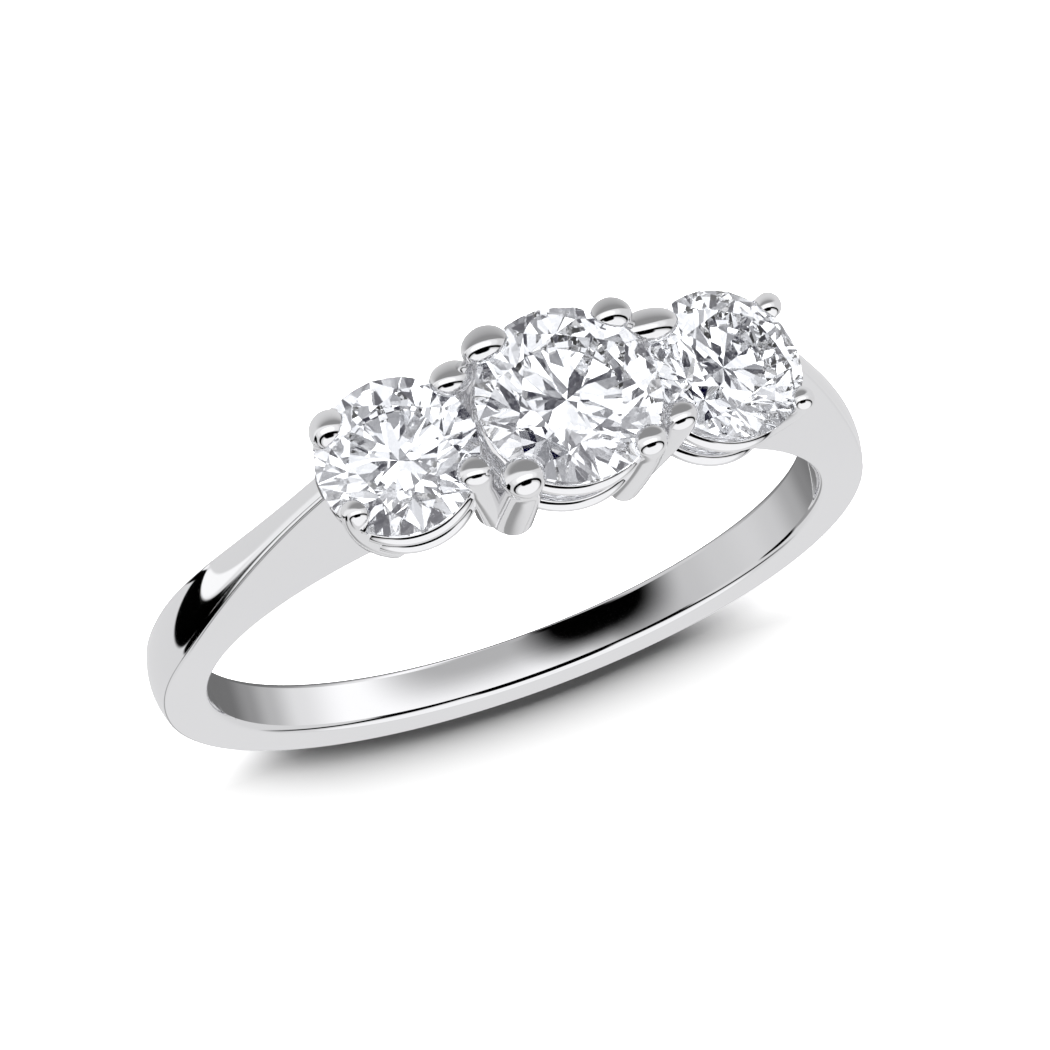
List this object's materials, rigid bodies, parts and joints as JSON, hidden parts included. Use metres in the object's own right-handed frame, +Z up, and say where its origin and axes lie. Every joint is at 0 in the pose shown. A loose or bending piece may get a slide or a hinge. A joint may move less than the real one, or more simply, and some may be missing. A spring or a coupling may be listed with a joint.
{
  "type": "three stone ring",
  "caption": "Finger ring with a row of round faceted stones, the larger in the middle, each held by beaded claws on round gallery rails between shoulders that rise to a ridge.",
  "frame": {"origin": "the middle of the finger hole, on its axis and halfway along its wall", "axes": "The ring lies on its side. +Z is up; the finger hole's axis leans from it by 3.84 degrees in the YZ plane. -Y points from the finger hole towards the stones, along the ring's length. +X is along the row of stones, towards the left stone."},
  "size_m": [0.0198, 0.0228, 0.0045],
  "materials": {
    "white_gold": "high polish white gold",
    "diamond": "faceted and polished, clear"
  },
  "bodies": {
    "root": {"mount": "white_gold", "centre_stone": "diamond", "left_stone": "diamond", "right_stone": "diamond"}
  },
  "joints": []
}
